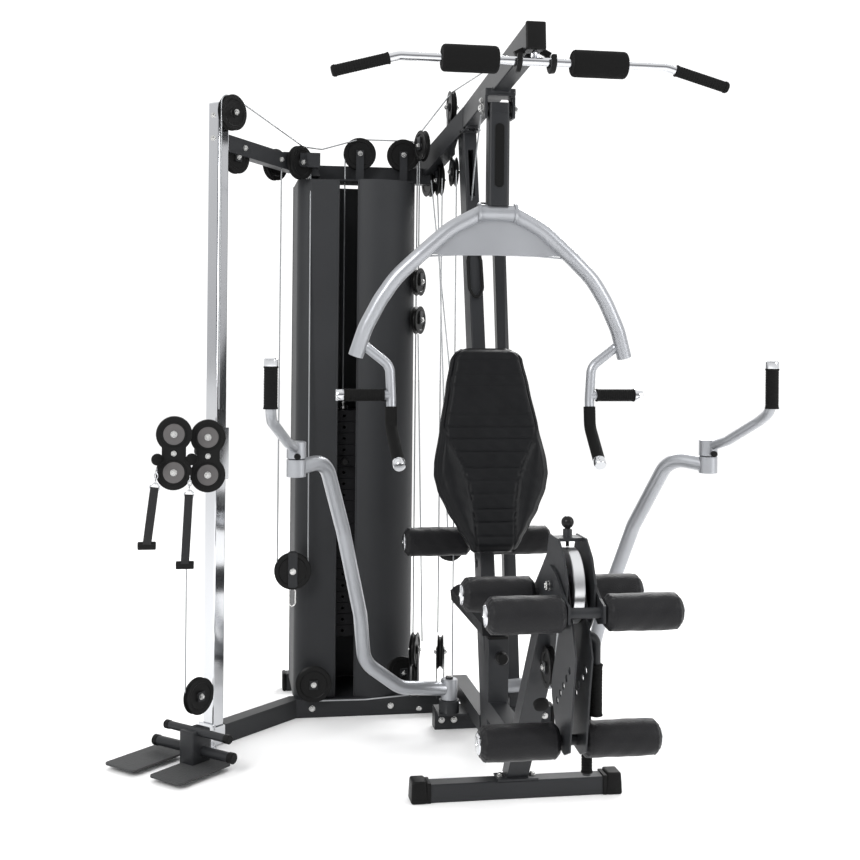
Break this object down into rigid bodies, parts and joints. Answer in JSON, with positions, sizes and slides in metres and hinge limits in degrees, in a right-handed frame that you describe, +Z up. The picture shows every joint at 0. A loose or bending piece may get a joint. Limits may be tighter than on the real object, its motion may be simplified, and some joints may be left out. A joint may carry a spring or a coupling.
{
  "type": "multi station home gym",
  "caption": "Home gym with weight stack, press arm, fly arms, lat pull-down, leg developer, adjustable seat and back pad, and a side cable column.",
  "frame": {"origin": "centre of the underside of the front foot bar", "axes": "+Z up, -Y out of the front, +X to the right as seen from the front"},
  "size_m": [1.8332, 1.8444, 2.0899],
  "materials": {
    "frame_paint": "anthracite satin powder coat",
    "silver_paint": "silver metallic coat",
    "chrome": "polished",
    "zinc": "zinc plated",
    "iron": "black painted",
    "foam": "textured",
    "leather": "black grained",
    "plastic": "moulded",
    "webbing": "woven"
  },
  "bodies": {
    "frame": {"foot_bar": "frame_paint", "end_caps": "plastic", "front_post": "frame_paint", "mast": "frame_paint", "rear_post": "frame_paint", "base_frame": "frame_paint", "stack_rail": "frame_paint", "boom_front": "frame_paint", "boom_rear": "frame_paint", "tower_arm": "frame_paint", "cable_column": "chrome", "column_foot": "chrome", "tread_frame": "frame_paint", "tread_plates": "plastic", "guide_rods": "chrome", "stack_buffers": "foam", "rest_plates": "iron", "shroud_left": "frame_paint", "shroud_right": "frame_paint", "leg_head": "frame_paint", "knee_rollers": "foam", "waist_roller": "foam", "frame_bolts": "zinc", "pulley_brackets": "frame_paint", "cable_stack": "zinc", "cable_lat_run": "zinc", "cable_tower": "zinc", "cable_low": "zinc"},
    "weights": {"lift_plates": "iron", "selector_stem": "zinc", "cable_lift": "zinc"},
    "selector_pin": {"selector_pin": "plastic"},
    "lat_bar": {"lat_bar": "chrome", "lat_foams": "foam", "cable_lat_drop": "zinc"},
    "press_arm": {"press_frame": "silver_paint", "press_grips": "foam"},
    "fly_arm_left": {"fly_arm_left": "silver_paint"},
    "fly_arm_right": {"fly_arm_right": "silver_paint"},
    "fly_handle_left": {"fly_handle_left": "silver_paint"},
    "fly_handle_right": {"fly_handle_right": "silver_paint"},
    "leg_lever": {"leg_lever": "frame_paint", "leg_cam": "silver_paint", "leg_rollers": "foam", "curl_handles": "frame_paint"},
    "leg_pin": {"leg_pin": "plastic"},
    "seat": {"seat_post": "frame_paint", "seat_pad": "leather"},
    "backrest": {"back_carrier": "frame_paint", "back_pad": "leather"},
    "carriage": {"carriage": "chrome"},
    "carriage_knob": {"carriage_knob": "plastic"},
    "head_left": {"head_left": "plastic"},
    "head_right": {"head_right": "plastic"},
    "straps": {"straps": "webbing"},
    "traveller": {"traveller": "plastic"},
    "pulley_stack_left": {"pulley_stack_left": "plastic"},
    "pulley_stack_right": {"pulley_stack_right": "plastic"},
    "pulley_tower_top": {"pulley_tower_top": "plastic"},
    "pulley_boom": {"pulley_boom": "plastic"}
  },
  "joints": [
    {"name": "weight_lift", "type": "slide", "parent": "frame", "child": "weights", "axis": [0, 0, 1], "range_m": [0, 0.5], "deforming": ["cable_lift"]},
    {"name": "selector_pull", "type": "slide", "parent": "weights", "child": "selector_pin", "axis": [0, -1, 0], "range_m": [0, 0.06]},
    {"name": "lat_pull", "type": "slide", "parent": "frame", "child": "lat_bar", "axis": [0, 0, -1], "range_m": [0, 0.5], "deforming": ["cable_lat_drop"]},
    {"name": "press_swing", "type": "hinge", "parent": "frame", "child": "press_arm", "pos_m": [0, 0.306, 1.936], "axis": [-1, 0, 0], "range_deg": [0, 20]},
    {"name": "fly_left_swing", "type": "hinge", "parent": "frame", "child": "fly_arm_left", "pos_m": [-0.082, 0.575, 0.14], "axis": [0, 0, 1], "range_deg": [0, 38]},
    {"name": "fly_right_swing", "type": "hinge", "parent": "frame", "child": "fly_arm_right", "pos_m": [0.082, 0.575, 0.14], "axis": [0, 0, -1], "range_deg": [0, 38]},
    {"name": "fly_left_handle_turn", "type": "hinge", "parent": "fly_arm_left", "child": "fly_handle_left", "pos_m": [-0.6, 0.135, 0.915], "axis": [0, 0, 1], "range_deg": [-20, 20]},
    {"name": "fly_right_handle_turn", "type": "hinge", "parent": "fly_arm_right", "child": "fly_handle_right", "pos_m": [0.6, 0.135, 0.915], "axis": [0, 0, -1], "range_deg": [-20, 20]},
    {"name": "leg_swing", "type": "hinge", "parent": "frame", "child": "leg_lever", "pos_m": [0, -0.52, 0.68], "axis": [-1, 0, 0], "range_deg": [0, 70]},
    {"name": "leg_pin_pull", "type": "slide", "parent": "frame", "child": "leg_pin", "axis": [0, 0, 1], "range_m": [0, 0.015]},
    {"name": "seat_height", "type": "slide", "parent": "frame", "child": "seat", "axis": [0, 0, 1], "range_m": [0, 0.06]},
    {"name": "backrest_depth", "type": "slide", "parent": "frame", "child": "backrest", "axis": [0, -0.9701, 0.2425], "range_m": [0, 0.06]},
    {"name": "carriage_height", "type": "slide", "parent": "frame", "child": "carriage", "axis": [0, 0, 1], "range_m": [-0.4, 0.75]},
    {"name": "carriage_knob_pull", "type": "slide", "parent": "carriage", "child": "carriage_knob", "axis": [-0.7071, 0.7071, 0], "range_m": [0, 0.012]},
    {"name": "head_left_turn", "type": "hinge", "parent": "carriage", "child": "head_left", "pos_m": [-0.92112, 0.4672, 0.9], "axis": [0, 0, 1], "range_deg": [-8, 8]},
    {"name": "head_right_turn", "type": "hinge", "parent": "carriage", "child": "head_right", "pos_m": [-0.84121, 0.47922, 0.9], "axis": [0, 0, 1], "range_deg": [-8, 8]},
    {"name": "strap_swing", "type": "hinge", "parent": "carriage", "child": "straps", "pos_m": [-0.94, 0.362, 0.893], "axis": [1, 0, 0], "range_deg": [-12, 0]},
    {"name": "traveller_lift", "type": "slide", "parent": "frame", "child": "traveller", "axis": [0, 0, 1], "range_m": [0, 0.9]},
    {"name": "pulley_stack_left_spin", "type": "hinge", "parent": "frame", "child": "pulley_stack_left", "pos_m": [-0.3451, 0.92, 1.873], "axis": [0, 1, 0], "continuous": true},
    {"name": "pulley_stack_right_spin", "type": "hinge", "parent": "frame", "child": "pulley_stack_right", "pos_m": [-0.196, 0.92, 1.873], "axis": [0, 1, 0], "continuous": true},
    {"name": "pulley_boom_spin", "type": "hinge", "parent": "frame", "child": "pulley_boom", "pos_m": [-0.044, 0.836, 2.03], "axis": [1, 0, 0], "continuous": true},
    {"name": "pulley_tower_top_spin", "type": "hinge", "parent": "frame", "child": "pulley_tower_top", "pos_m": [-0.77927, 0.54456, 1.936], "axis": [0.7071, -0.7071, 0], "continuous": true}
  ],
  "couplings": [
    {"joint": "lat_pull", "follows": "weight_lift", "ratio": 1},
    {"joint": "pulley_stack_left_spin", "follows": "weight_lift", "rad_per_m": 20},
    {"joint": "pulley_stack_right_spin", "follows": "weight_lift", "rad_per_m": 20},
    {"joint": "pulley_boom_spin", "follows": "weight_lift", "rad_per_m": 20}
  ]
}
